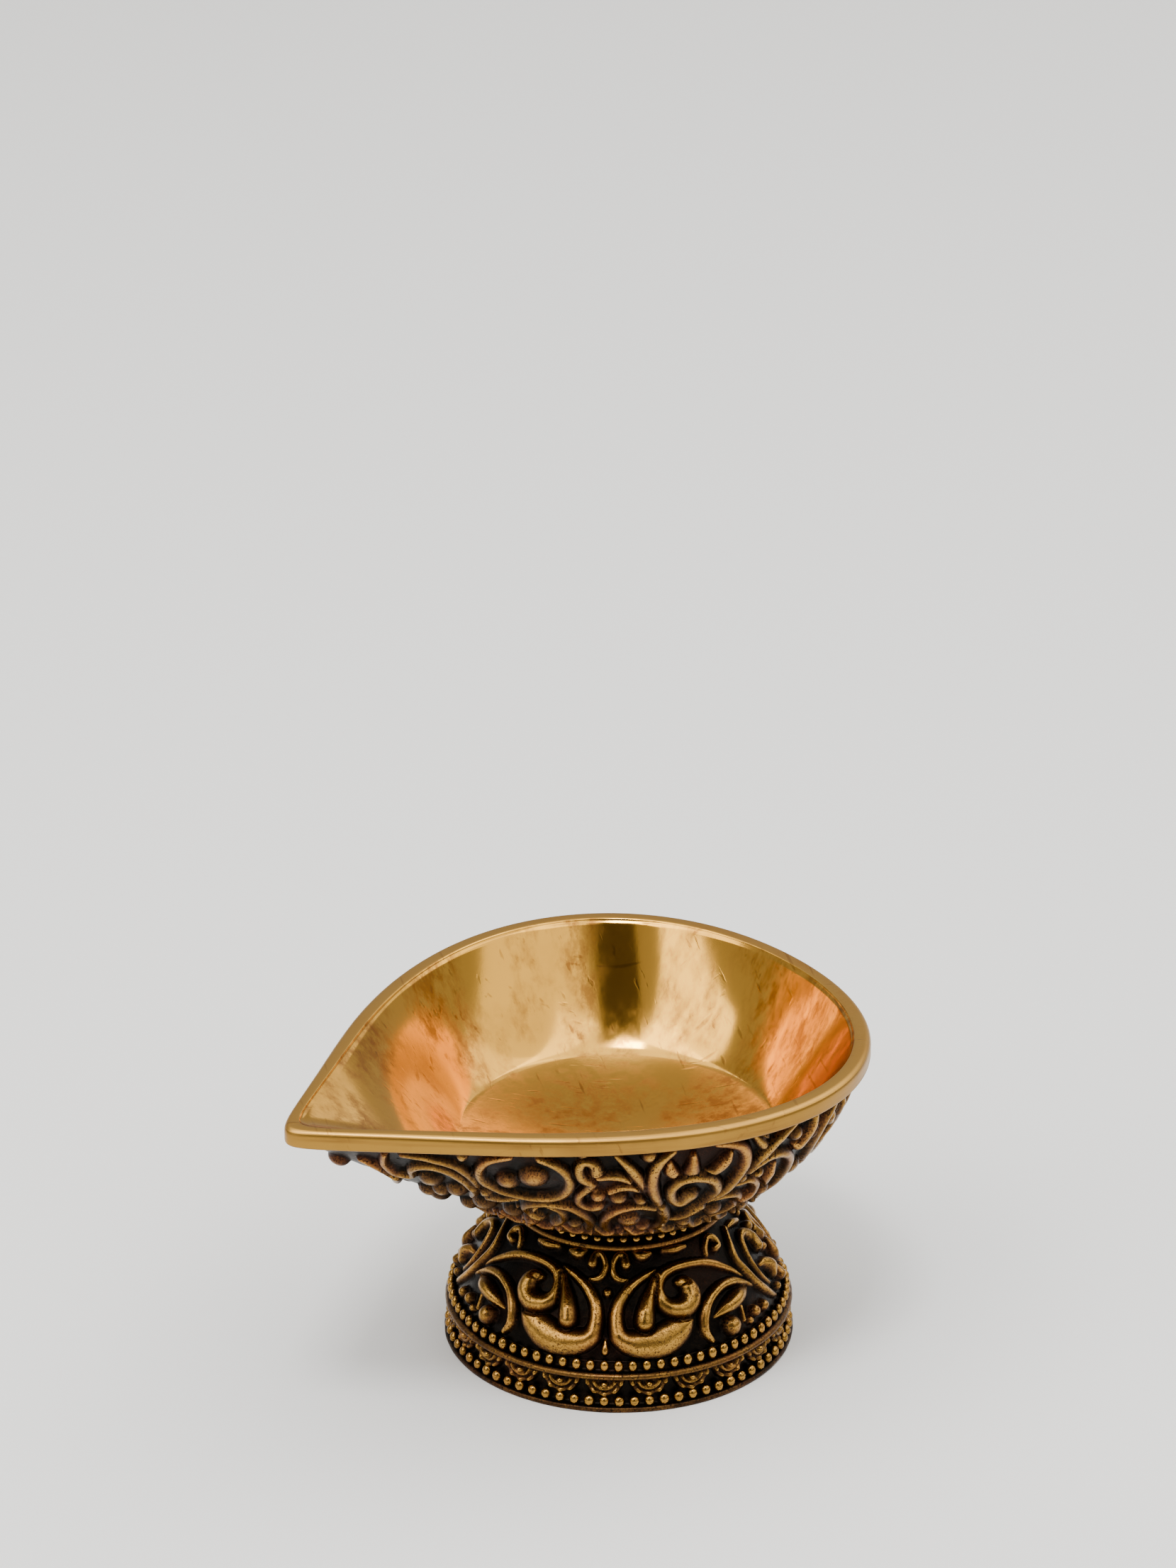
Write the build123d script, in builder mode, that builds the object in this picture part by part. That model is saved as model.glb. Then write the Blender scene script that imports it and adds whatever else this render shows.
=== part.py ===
from build123d import *
import os
from math import cos, exp, radians, sin, sqrt

# A small cast-brass diya: a leaf-shaped oil bowl with a pinched beak for the wick, standing on a
# round hollow foot. The two castings are drawn together by a stud, a washer and a nut inside the
# foot, with a beaded collar between them. The fretted relief of both castings is finer than this
# model; the walls here run through the middle of it.
#
# Frame: millimetres, +Z up, origin at the centre of the foot's underside, the beak towards -X.

# ---- driving dimensions -------------------------------------------------------------------
HEIGHT = 59.5              # table to the bowl's rim
BOWL_RADIUS = 42.0         # round part of the rim, at the top edge
BEAK_REACH = 25.5          # how far the beak runs out beyond the round part
BEAK_SPREAD = 0.269        # angle in radians over which the beak dies away
BEAK_ROUNDING = 0.04       # angle in radians that blunts the very tip
FORWARD_SHIFT = 1.1        # the round part sits a little towards the beak
THREE_LOBE = 1.5           # flattens the back of the rim and fills out its shoulders

RIM_DEPTH = 3.3            # height of the plain band under the rim
RIM_BULGE = 1.2            # how far the band stands out beyond the top edge
RIM_LAND = 2.0             # flat top face of the rim

BOWL_SEAT = 27.4           # underside of the bowl
BOWL_SEAT_RADIUS = 15.0
OUTSIDE_INSET = 1.0        # the wall starts this far inside the rim's top edge
OUTSIDE_POWERS = (1.48, 1.59)
BEAK_FADE = 1.4            # how quickly the beak fades out towards the bowl's underside

FLOOR_MIDDLE = 36.0        # lowest point of the polished inside
FLOOR_EDGE = (27.0, 40.0)  # radius and height where the dished floor meets the wall
FLOOR_POWER = 1.7          # how flat the floor's dish is in the middle
WALL_POWER = 0.8           # how much the inside wall is curved above the floor
BEAK_AT_FLOOR = 0.12       # share of the beak that still shows in the floor's outline
INSIDE_FADE = 1.6          # how quickly the beak's channel closes towards the floor

FOOT_RADIUS = 30.6         # plinth at the table
PLINTH_HEIGHT = 0.95
LOWER_BEADS = (29.9, 1.75)  # radius and height of the bead row's centre line
UPPER_BEADS = (29.55, 8.4)
BEAD_RADIUS = 0.75
PETAL_BAND_RADIUS = 29.7
LEDGE = (30.5, 6.1, 7.1)   # radius, underside and top of the wire ledge
DOME_START = (29.2, 9.4)  # radius and height where the dome springs
DOME_MIDDLE = (25.0, 17.3)
FOOT_TOP = 24.8
FOOT_TOP_RADIUS = 18.3
FOOT_WALL = 2.4
TOP_PLATE = 3.0

COLLAR_RADIUS = 19.0
COLLAR_LEDGE = 1.3         # height of the collar's plain ledge
COLLAR_BEADS = 17.6        # radius of the collar's bead row
COLLAR_EASING = 0.4        # how far the ledge's edge is rounded in

STUD_RADIUS = 2.5          # M5
STUD_CLEARANCE = 0.25
TAPPED_DEPTH = 4.6         # how far the stud enters the bowl
WASHER_RADIUS = 6.0
WASHER_THICKNESS = 1.0
NUT_ACROSS_FLATS = 8.0
NUT_THICKNESS = 4.0
NUT_CORNER_CUT = (0.75, 0.95)   # how far the nut's corners are cut back, across and up
STUD_PROUD = 1.6           # stud end below the nut

SECTION_ANGLES = [0, 2, 5, 10, 18, 30, 48, 75, 105, 140, 180]   # from the beak, in degrees


# ---- the bowl's outline ---------------------------------------------------------------------
def rim_radius(angle):
    """Radius of the rim's top edge at an angle from the beak, in radians."""
    from_beak = sqrt(angle ** 2 + BEAK_ROUNDING ** 2)
    beak = BEAK_REACH * exp(-from_beak / BEAK_SPREAD)
    return BOWL_RADIUS + beak + FORWARD_SHIFT * cos(angle) + THREE_LOBE * cos(3 * angle)


def outside_radius(angle, rise):
    """Radius of the bowl's outside: rise runs from 0 at the seat to 1 under the rim band."""
    swell = (1 - (1 - rise) ** OUTSIDE_POWERS[0]) ** (1 / OUTSIDE_POWERS[1])
    widest = BOWL_RADIUS - OUTSIDE_INSET
    round_part = BOWL_SEAT_RADIUS + (widest - BOWL_SEAT_RADIUS) * swell
    return round_part + (rim_radius(angle) - BOWL_RADIUS) * rise ** BEAK_FADE


def inside_radius(angle, rise):
    """Radius of the polished wall: rise runs from 0 at the floor's edge to 1 at the rim."""
    widest = BOWL_RADIUS - RIM_LAND
    round_part = FLOOR_EDGE[0] + (widest - FLOOR_EDGE[0]) * rise ** WALL_POWER
    return round_part + BEAK_AT_FLOOR * (rim_radius(angle) - BOWL_RADIUS) + (
        (1 - BEAK_AT_FLOOR) * (rim_radius(angle) - BOWL_RADIUS) * rise ** INSIDE_FADE
    )


def outline_points(radius_at):
    """Points round a closed outline whose beak points towards -X."""
    turns = [radians(a) for a in SECTION_ANGLES]
    turns += [-a for a in reversed(turns[1:-1])]
    return [(-radius_at(abs(a)) * cos(a), -radius_at(abs(a)) * sin(a)) for a in turns]


def bowl_body(bottom, top, rises, radius_at):
    """A solid bowl shape, lofted through horizontal sections."""
    with BuildPart() as body:
        for rise in rises:
            height = bottom + (top - bottom) * rise
            with BuildSketch(Plane.XY.offset(height)):
                with BuildLine():
                    Spline(*outline_points(lambda a: radius_at(a, rise)), periodic=True)
                make_face()
        loft()
    return body.part


def floor_radius(angle, rise):
    """Radius of the dished floor: rise runs from 0 in the middle to 1 at the floor's edge."""
    return inside_radius(angle, 0) * rise ** (1 / FLOOR_POWER)


outside = bowl_body(
    BOWL_SEAT, HEIGHT - RIM_DEPTH, [0.0, 0.06, 0.18, 0.38, 0.66, 1.0], outside_radius
)
wall_hollow = bowl_body(FLOOR_EDGE[1], HEIGHT, [0.0, 0.12, 0.3, 0.6, 1.0], inside_radius)
floor_hollow = bowl_body(FLOOR_MIDDLE, FLOOR_EDGE[1], [0.02, 0.1, 0.35, 1.0], floor_radius)

# ---- bowl: one casting with its rim band and the tapped hole for the stud ---------------------
with BuildPart() as bowl:
    add(outside)
    with BuildPart(mode=Mode.PRIVATE) as rim_band:
        with BuildSketch(Plane.XY.offset(HEIGHT - RIM_DEPTH)):
            with BuildLine():
                Spline(*outline_points(lambda a: rim_radius(a) + RIM_BULGE), periodic=True)
            make_face()
        extrude(amount=RIM_DEPTH)
        fillet(rim_band.edges().group_by(Axis.Z)[-1], radius=1.1)
        fillet(rim_band.edges().group_by(Axis.Z)[0], radius=0.7)
    add(rim_band.part)
    add(wall_hollow, mode=Mode.SUBTRACT)
    add(floor_hollow, mode=Mode.SUBTRACT)
    with Locations((0, 0, BOWL_SEAT + TAPPED_DEPTH / 2)):
        Cylinder(STUD_RADIUS, TAPPED_DEPTH, mode=Mode.SUBTRACT)

# ---- foot: a hollow turned-and-cast dome with two bead rows round its skirt --------------------
with BuildPart() as foot:
    with BuildSketch(Plane.XZ):
        with BuildLine():
            Polyline(
                (FOOT_RADIUS - FOOT_WALL, 0),
                (FOOT_RADIUS, 0),
                (FOOT_RADIUS, PLINTH_HEIGHT),
                (PETAL_BAND_RADIUS, PLINTH_HEIGHT),
                (PETAL_BAND_RADIUS, LEDGE[1]),
                (LEDGE[0], LEDGE[1]),
                (LEDGE[0], LEDGE[2]),
                (DOME_START[0], LEDGE[2]),
                DOME_START,
            )
            ThreePointArc(DOME_START, DOME_MIDDLE, (FOOT_TOP_RADIUS, FOOT_TOP))
            Polyline(
                (FOOT_TOP_RADIUS, FOOT_TOP),
                (0, FOOT_TOP),
                (0, FOOT_TOP - TOP_PLATE),
                (FOOT_TOP_RADIUS - FOOT_WALL, FOOT_TOP - TOP_PLATE),
            )
            ThreePointArc(
                (FOOT_TOP_RADIUS - FOOT_WALL, FOOT_TOP - TOP_PLATE),
                (DOME_MIDDLE[0] - FOOT_WALL, DOME_MIDDLE[1] - TOP_PLATE / 2),
                (DOME_START[0] - FOOT_WALL, DOME_START[1] - TOP_PLATE / 2),
            )
            Line(
                (DOME_START[0] - FOOT_WALL, DOME_START[1] - TOP_PLATE / 2),
                (FOOT_RADIUS - FOOT_WALL, 0),
            )
        make_face()
    revolve(axis=Axis.Z)
    for row_radius, row_height in (LOWER_BEADS, UPPER_BEADS):
        with Locations((0, 0, row_height)):
            Torus(row_radius, BEAD_RADIUS)
    with Locations((0, 0, FOOT_TOP)):
        Hole(STUD_RADIUS + STUD_CLEARANCE, depth=TOP_PLATE)

# ---- neck collar: a plain ledge with a bead row, pinched between the castings ------------------
ledge_top = FOOT_TOP + COLLAR_LEDGE
bead_middle = (ledge_top + BOWL_SEAT) / 2
with BuildPart() as neck_collar:
    with BuildSketch(Plane.XZ):
        with BuildLine():
            Polyline(
                (COLLAR_BEADS, BOWL_SEAT),
                (STUD_RADIUS + STUD_CLEARANCE, BOWL_SEAT),
                (STUD_RADIUS + STUD_CLEARANCE, FOOT_TOP),
                (COLLAR_RADIUS - COLLAR_EASING, FOOT_TOP),
            )
            ThreePointArc(
                (COLLAR_RADIUS - COLLAR_EASING, FOOT_TOP),
                (COLLAR_RADIUS, FOOT_TOP + COLLAR_LEDGE / 2),
                (COLLAR_RADIUS - COLLAR_EASING, ledge_top),
            )
            Line((COLLAR_RADIUS - COLLAR_EASING, ledge_top), (COLLAR_BEADS, ledge_top))
            ThreePointArc(
                (COLLAR_BEADS, ledge_top),
                (COLLAR_BEADS + (BOWL_SEAT - ledge_top) / 2, bead_middle),
                (COLLAR_BEADS, BOWL_SEAT),
            )
        make_face()
    revolve(axis=Axis.Z)

# ---- fixing hardware inside the foot ---------------------------------------------------------
plate_underside = FOOT_TOP - TOP_PLATE
nut_top = plate_underside - WASHER_THICKNESS
stud_bottom = nut_top - NUT_THICKNESS - STUD_PROUD
stud_top = BOWL_SEAT + TAPPED_DEPTH

with BuildPart() as washer:
    with BuildSketch(Plane.XY.offset(nut_top)):
        Circle(WASHER_RADIUS)
        Circle(STUD_RADIUS + STUD_CLEARANCE, mode=Mode.SUBTRACT)
    extrude(amount=WASHER_THICKNESS)
    chamfer(washer.edges().filter_by(GeomType.CIRCLE).sort_by(SortBy.LENGTH)[-2:], length=0.2)

with BuildPart() as hex_nut:
    with BuildSketch(Plane.XY.offset(nut_top)):
        RegularPolygon(NUT_ACROSS_FLATS / 2, side_count=6, major_radius=False)
    extrude(amount=-NUT_THICKNESS)
    with BuildSketch(Plane.XZ):
        corner = NUT_ACROSS_FLATS / sqrt(3)
        with BuildLine():
            Polyline(
                (corner - NUT_CORNER_CUT[0], nut_top - NUT_THICKNESS),
                (corner + 1, nut_top - NUT_THICKNESS),
                (corner + 1, nut_top - NUT_THICKNESS + NUT_CORNER_CUT[1]),
                (corner - NUT_CORNER_CUT[0], nut_top - NUT_THICKNESS),
            )
        make_face()
    revolve(axis=Axis.Z, mode=Mode.SUBTRACT)
    with Locations((0, 0, nut_top)):
        Hole(STUD_RADIUS, depth=NUT_THICKNESS)

with BuildPart() as fixing_stud:
    with BuildSketch(Plane.XY.offset(stud_bottom)):
        Circle(STUD_RADIUS)
    extrude(amount=stud_top - stud_bottom)
    chamfer(fixing_stud.edges().filter_by(GeomType.CIRCLE), length=0.5)

# ---- one STEP file per piece -----------------------------------------------------------------
os.makedirs("parts", exist_ok=True)

bowl.part.label = "bowl"
export_step(bowl.part, "parts/bowl.step")

foot.part.label = "foot"
export_step(foot.part, "parts/foot.step")

neck_collar.part.label = "neck_collar"
export_step(neck_collar.part, "parts/neck_collar.step")

washer.part.label = "washer"
export_step(washer.part, "parts/washer.step")

hex_nut.part.label = "hex_nut"
export_step(hex_nut.part, "parts/hex_nut.step")

fixing_stud.part.label = "fixing_stud"
export_step(fixing_stud.part, "parts/fixing_stud.step")

print("bowl volume cm3", round(bowl.part.volume / 1000, 1))
print("foot volume cm3", round(foot.part.volume / 1000, 1))
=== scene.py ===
# %% [markdown]
# # A cast-brass diya
#
# The lamp is two sand castings, a drop-shaped bowl and a hollow domed foot, pulled together by a
# stud with a small collar between them. The CAD frame gives every size and place. This script
# gives the castings what a founder and a polisher give them: the chased scrolls, the bead rows,
# the petal band, the mirror inside the bowl and the dark patina everywhere else.

# %% The frame, and the sizes taken from it
import math

import bpy
import numpy as np
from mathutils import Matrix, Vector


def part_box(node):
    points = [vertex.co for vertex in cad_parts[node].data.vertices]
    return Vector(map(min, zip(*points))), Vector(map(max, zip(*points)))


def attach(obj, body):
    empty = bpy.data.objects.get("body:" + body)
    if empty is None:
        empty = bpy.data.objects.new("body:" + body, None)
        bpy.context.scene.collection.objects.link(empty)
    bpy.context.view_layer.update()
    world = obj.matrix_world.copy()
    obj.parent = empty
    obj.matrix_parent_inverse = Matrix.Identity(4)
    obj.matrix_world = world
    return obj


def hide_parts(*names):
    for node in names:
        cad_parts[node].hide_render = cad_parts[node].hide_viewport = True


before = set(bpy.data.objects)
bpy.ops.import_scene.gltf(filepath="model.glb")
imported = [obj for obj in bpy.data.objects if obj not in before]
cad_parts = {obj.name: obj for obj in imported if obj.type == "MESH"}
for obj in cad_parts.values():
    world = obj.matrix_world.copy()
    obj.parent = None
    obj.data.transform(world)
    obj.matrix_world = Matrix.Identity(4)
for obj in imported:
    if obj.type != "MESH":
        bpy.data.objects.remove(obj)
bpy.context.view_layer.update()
bpy.ops.object.select_all(action="DESELECT")

MM = 0.001
bowl_low, bowl_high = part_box("bowl")
RIM_TOP = bowl_high.z
SEAT = bowl_low.z
FOOT_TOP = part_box("foot")[1].z
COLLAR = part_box("neck_collar")[1].x
print("rim at", round(RIM_TOP / MM, 1), "mm, bowl seat at", round(SEAT / MM, 1), "mm")

# %% [markdown]
# ## The bowl's outline
#
# Seen from above, the rim is a circle with a beak pulled out of it, as a potter pinches a clay
# lamp. The beak dies away with the angle from its tip, so one exponential draws it. Two small
# cosines push the round part towards the beak and flatten the back, as on the real casting.

# %% The rim's radius at any angle from the beak
BOWL_RADIUS = 42.0 * MM
BEAK_REACH = 25.5 * MM
BEAK_SPREAD = 0.269
BEAK_ROUNDING = 0.04
FORWARD_SHIFT = 1.1 * MM
THREE_LOBE = 1.5 * MM
RIM_DEPTH = 3.3 * MM
RIM_BULGE = 1.15 * MM
RIM_LAND = 1.9 * MM


def rim_radius(angle):
    from_beak = np.sqrt(angle ** 2 + BEAK_ROUNDING ** 2)
    beak = BEAK_REACH * np.exp(-from_beak / BEAK_SPREAD)
    return BOWL_RADIUS + beak + FORWARD_SHIFT * np.cos(angle) + THREE_LOBE * np.cos(3 * angle)


print("the beak reaches", round(float(rim_radius(0.0)) / MM, 1), "mm from the axis")

# %% [markdown]
# ## A sheet rolled round the axis
#
# Every casting here runs once round the lamp's axis. A grid is added flat, and each of its rows
# becomes one ring of the casting: a radius, a height, and how strongly the beak pulls at it. The
# seam is then welded, as a potter joins a rolled slab. A lathe (Spin) would do for the foot, but
# not for the bowl's beak, and both castings need their rows kept in order for the chasing.

# %% The rolled sheet
def beak_angles(count, crowding=1.35):
    """Angles once round from the beak, closer together near its sharp tip."""
    across = np.linspace(-1, 1, count + 1)
    return math.pi * np.sign(across) * np.abs(across) ** crowding


def even_angles(count):
    return np.linspace(-math.pi, math.pi, count + 1)


def ring_points(angles, rings):
    """rings holds (radius, height, beak) rows. Returns points by ring and angle."""
    radius, height, beak = (np.array(column)[:, None] for column in zip(*rings))
    spread = radius + beak * (rim_radius(np.abs(angles)) - BOWL_RADIUS)[None, :]
    return np.stack(
        [-spread * np.cos(angles), -spread * np.sin(angles), height + 0 * spread], axis=-1
    )


def rolled_sheet(name, points, masks=None):
    """Adds a grid, lays its rows on the rings in points, and welds the seam."""
    rows, columns = points.shape[:2]
    bpy.ops.mesh.primitive_grid_add(
        x_subdivisions=columns - 1, y_subdivisions=rows - 1, size=2
    )
    sheet = bpy.context.object
    sheet.name = name
    flat = np.zeros(len(sheet.data.vertices) * 3)
    sheet.data.vertices.foreach_get("co", flat)
    flat = flat.reshape(-1, 3)
    column = np.rint((flat[:, 0] + 1) / 2 * (columns - 1)).astype(int)
    row = np.rint((flat[:, 1] + 1) / 2 * (rows - 1)).astype(int)
    sheet.data.vertices.foreach_set("co", points[row, column].ravel())
    for mask_name, mask in (masks or {}).items():
        layer = sheet.data.attributes.new(mask_name, "FLOAT", "POINT")
        layer.data.foreach_set("value", mask[row, column].astype(np.float32))
    weld(sheet)
    return sheet


def weld(piece, distance=1e-6):
    """Merges doubled vertices and turns every face outwards."""
    bpy.ops.object.select_all(action="DESELECT")
    piece.select_set(True)
    bpy.context.view_layer.objects.active = piece
    bpy.ops.object.mode_set(mode="EDIT")
    bpy.ops.mesh.select_all(action="SELECT")
    bpy.ops.mesh.remove_doubles(threshold=distance)
    bpy.ops.mesh.normals_make_consistent(inside=False)
    bpy.ops.object.mode_set(mode="OBJECT")
    bpy.ops.object.shade_smooth()
    piece.select_set(False)


def finish_piece(piece, material, slot, *nodes):
    """Gives a piece its finish, hangs it on the root body and hides the CAD parts that it
    replaces.
    """
    piece.data.materials.clear()
    piece.data.materials.append(material)
    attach(piece, "root")
    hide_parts(*nodes)
    print(piece.name, len(piece.data.polygons), "faces")


# %% [markdown]
# ## The wall of the bowl
#
# Inside, the bowl has a slightly dished floor and a wall that climbs steeply from its edge, with a
# visible turn between them. Outside it swells quickly from the seat and then climbs more slowly.
# In both, the beak is strongest at the rim and fades below it.

# %% The two sides of the wall
FLOOR_MIDDLE = 36.0 * MM
FLOOR_EDGE_RADIUS = 27.0 * MM
FLOOR_EDGE_HEIGHT = 40.0 * MM
FLOOR_POWER = 1.7
WALL_POWER = 0.8
BEAK_AT_FLOOR = 0.12
INSIDE_FADE = 1.6
SEAT_RADIUS = 15.0 * MM
OUTSIDE_INSET = 1.0 * MM
OUTSIDE_POWERS = (1.48, 1.59)
BEAK_FADE = 1.4
GROUND_DEPTH = 1.1 * MM


def floor_ring(share):
    """A ring of the dished floor; share runs from 0 in the middle to 1 at its edge."""
    height = FLOOR_MIDDLE + (FLOOR_EDGE_HEIGHT - FLOOR_MIDDLE) * share ** FLOOR_POWER
    return (FLOOR_EDGE_RADIUS * share, height, BEAK_AT_FLOOR * share)


def wall_ring(rise):
    """A ring of the polished wall, from the floor's edge at 0 to the rim at 1."""
    radius = FLOOR_EDGE_RADIUS + (BOWL_RADIUS - RIM_LAND - FLOOR_EDGE_RADIUS) * rise ** WALL_POWER
    height = FLOOR_EDGE_HEIGHT + (RIM_TOP - FLOOR_EDGE_HEIGHT) * rise
    return (radius, height, BEAK_AT_FLOOR + (1 - BEAK_AT_FLOOR) * rise ** INSIDE_FADE)


def outside_radius(rise):
    """The outside's radius, beak left out; rise runs from 0 at the seat to 1 at the band."""
    swell = (1 - (1 - rise) ** OUTSIDE_POWERS[0]) ** (1 / OUTSIDE_POWERS[1])
    return SEAT_RADIUS + (BOWL_RADIUS - OUTSIDE_INSET - SEAT_RADIUS) * swell


def outside_ring(rise, depth):
    """A ring of the outside, sunk by depth."""
    height = SEAT + (RIM_TOP - RIM_DEPTH - SEAT) * rise
    return (outside_radius(rise) - depth, height, rise ** BEAK_FADE)


print("the basin is", round((RIM_TOP - FLOOR_MIDDLE) / MM, 1), "mm deep")

# %% [markdown]
# ## Patina
#
# The founder blackens the whole casting and then rubs the high points back to brass. So colour
# follows the depth of the chasing. Each chased piece carries a mask called relief, 0 in the
# ground and 1 on the crests, and the patina group turns it, with some noise, into three finishes:
# black lacquered ground, brown flanks and worn brass crests. The helpers come first: sockets,
# ramps, noise and sums are what every finish is made of.

# %% Helpers for node trees
def group_sockets(group, inputs, outputs):
    for socket_name, kind, value in inputs:
        socket = group.interface.new_socket(socket_name, in_out="INPUT", socket_type=kind)
        socket.default_value = value
    for socket_name, kind in outputs:
        group.interface.new_socket(socket_name, in_out="OUTPUT", socket_type=kind)


def ramp_node(nodes, stops):
    ramp = nodes.new("ShaderNodeValToRGB")
    elements = ramp.color_ramp.elements
    while len(elements) < len(stops):
        elements.new(0.5)
    for element, (place, colour) in zip(elements, stops):
        element.position = place
        element.color = (*colour, 1.0)
    return ramp


def noise_node(nodes, links, coordinates, scale, detail=4.0, roughness=0.55):
    noise = nodes.new("ShaderNodeTexNoise")
    noise.inputs["Scale"].default_value = scale
    noise.inputs["Detail"].default_value = detail
    noise.inputs["Roughness"].default_value = roughness
    links.new(coordinates, noise.inputs["Vector"])
    return noise.outputs["Fac"]


def maths(nodes, links, operation, first, second, clamp=False):
    node = nodes.new("ShaderNodeMath")
    node.operation = operation
    node.use_clamp = clamp
    for socket, value in zip(node.inputs, (first, second)):
        if isinstance(value, (int, float)):
            socket.default_value = value
        else:
            links.new(value, socket)
    return node.outputs[0]


def above(nodes, links, value, start, gain):
    """How far value is above start, multiplied by gain and held between 0 and 1."""
    over = maths(nodes, links, "SUBTRACT", value, start)
    return maths(nodes, links, "MULTIPLY", over, gain, clamp=True)


def bare_metal(name):
    """A fully metallic material, its nodes, its links and its shader."""
    material = bpy.data.materials.new(name)
    material.use_nodes = True
    nodes, links = material.node_tree.nodes, material.node_tree.links
    shader = nodes["Principled BSDF"]
    shader.inputs["Metallic"].default_value = 1.0
    return material, nodes, links, shader


def bump(nodes, links, shader, height, strength):
    """Bumps the shader's surface; a height of 1 stands for a tenth of a millimetre."""
    bumps = nodes.new("ShaderNodeBump")
    bumps.inputs["Strength"].default_value = strength
    bumps.inputs["Distance"].default_value = 0.1 * MM
    links.new(height, bumps.inputs["Height"])
    links.new(bumps.outputs["Normal"], shader.inputs["Normal"])


print("node helpers are ready")

# %% [markdown]
# ## The patina group
#
# The rubbing is never even, so blotches, a fine speckle and pits push the mask up and down. The
# result picks the colour and the roughness: crests have been burnished, so they are glossiest. A
# redder ramp stands in where the brass has gone coppery.

# %% The patina group
def patina_group():
    group = bpy.data.node_groups.new("patina", "ShaderNodeTree")
    group_sockets(
        group,
        [
            ("Relief", "NodeSocketFloat", 0.5),
            ("Wear", "NodeSocketFloat", 0.0),
            ("Redness", "NodeSocketFloat", 0.5),
        ],
        [
            ("Color", "NodeSocketColor"),
            ("Roughness", "NodeSocketFloat"),
            ("Height", "NodeSocketFloat"),
        ],
    )
    nodes, links = group.nodes, group.links
    start = nodes.new("NodeGroupInput")
    end = nodes.new("NodeGroupOutput")
    place = nodes.new("ShaderNodeTexCoord").outputs["Object"]
    blotches = noise_node(nodes, links, place, 260.0, 3.0)
    speckle = noise_node(nodes, links, place, 2600.0, 5.0, 0.7)
    grain = noise_node(nodes, links, place, 2900.0, 3.0, 0.6)

    # How far rubbed back: the mask, nudged up and down by blotches and broken up by speckle.
    rubbed = maths(nodes, links, "ADD", start.outputs["Relief"], start.outputs["Wear"])
    nudge = maths(nodes, links, "MULTIPLY", maths(nodes, links, "SUBTRACT", blotches, 0.5), 0.75)
    rubbed = maths(nodes, links, "ADD", rubbed, nudge)
    broken = maths(nodes, links, "MULTIPLY", maths(nodes, links, "SUBTRACT", speckle, 0.5), 0.9)
    rubbed = maths(nodes, links, "ADD", rubbed, broken, clamp=True)
    pitted = above(nodes, links, grain, 0.54, 9.0)
    rough_patch = above(nodes, links, blotches, 0.45, 8.0)
    pitted = maths(nodes, links, "MULTIPLY", pitted, rough_patch)
    pitted = maths(nodes, links, "MULTIPLY", pitted, 0.6)
    rubbed = maths(nodes, links, "SUBTRACT", rubbed, pitted, clamp=True)

    brass = ramp_node(nodes, [
        (0.0, (0.006, 0.005, 0.004)),
        (0.22, (0.012, 0.008, 0.005)),
        (0.42, (0.060, 0.028, 0.011)),
        (0.66, (0.14, 0.068, 0.017)),
        (0.85, (0.25, 0.128, 0.025)),
        (1.0, (0.40, 0.212, 0.041)),
    ])
    links.new(rubbed, brass.inputs["Fac"])
    red = ramp_node(nodes, [
        (0.0, (0.014, 0.007, 0.005)),
        (0.3, (0.040, 0.014, 0.008)),
        (0.6, (0.15, 0.055, 0.018)),
        (0.95, (0.45, 0.21, 0.045)),
    ])
    links.new(rubbed, red.inputs["Fac"])
    patches = noise_node(nodes, links, place, 75.0, 2.0)
    spread = above(nodes, links, patches, 0.52, 9.0)
    spread = maths(nodes, links, "MULTIPLY", spread, start.outputs["Redness"], clamp=True)
    mixed = nodes.new("ShaderNodeMix")
    mixed.data_type = "RGBA"
    links.new(spread, mixed.inputs["Factor"])
    links.new(brass.outputs["Color"], mixed.inputs["A"])
    links.new(red.outputs["Color"], mixed.inputs["B"])
    links.new(mixed.outputs["Result"], end.inputs["Color"])

    rough = ramp_node(nodes, [
        (0.0, (0.34,) * 3), (0.3, (0.48,) * 3), (0.6, (0.34,) * 3), (1.0, (0.17,) * 3),
    ])
    links.new(rubbed, rough.inputs["Fac"])
    links.new(rough.outputs["Color"], end.inputs["Roughness"])
    bumps = maths(nodes, links, "MULTIPLY", speckle, 0.6)
    bumps = maths(nodes, links, "ADD", bumps, maths(nodes, links, "MULTIPLY", grain, 0.4))
    links.new(bumps, end.inputs["Height"])
    return group


PATINA = patina_group()
print("patina nodes:", len(PATINA.nodes))

# %% [markdown]
# ## Antique brass
#
# One recipe makes three finishes. The vine is rubbed a little less than the foot, and the beads a
# little more, because a cloth catches them first. A shallow bump gives the cast grain.

# %% The antique brass materials
def antique_brass(name, wear, redness, roughened):
    material, nodes, links, shader = bare_metal(name)
    relief = nodes.new("ShaderNodeAttribute")
    relief.attribute_name = "relief"
    patina = nodes.new("ShaderNodeGroup")
    patina.node_tree = PATINA
    links.new(relief.outputs["Fac"], patina.inputs["Relief"])
    patina.inputs["Wear"].default_value = wear
    patina.inputs["Redness"].default_value = redness
    links.new(patina.outputs["Color"], shader.inputs["Base Color"])
    links.new(patina.outputs["Roughness"], shader.inputs["Roughness"])
    bump(nodes, links, shader, patina.outputs["Height"], roughened)
    return material


FOOT_BRASS = antique_brass("foot_brass", 0.02, 0.5, 0.55)
VINE_BRASS = antique_brass("vine_brass", -0.02, 0.8, 0.5)
BEAD_BRASS = antique_brass("bead_brass", 0.05, 0.4, 0.35)
print("antique brass:", FOOT_BRASS.name, VINE_BRASS.name, BEAD_BRASS.name)

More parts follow.
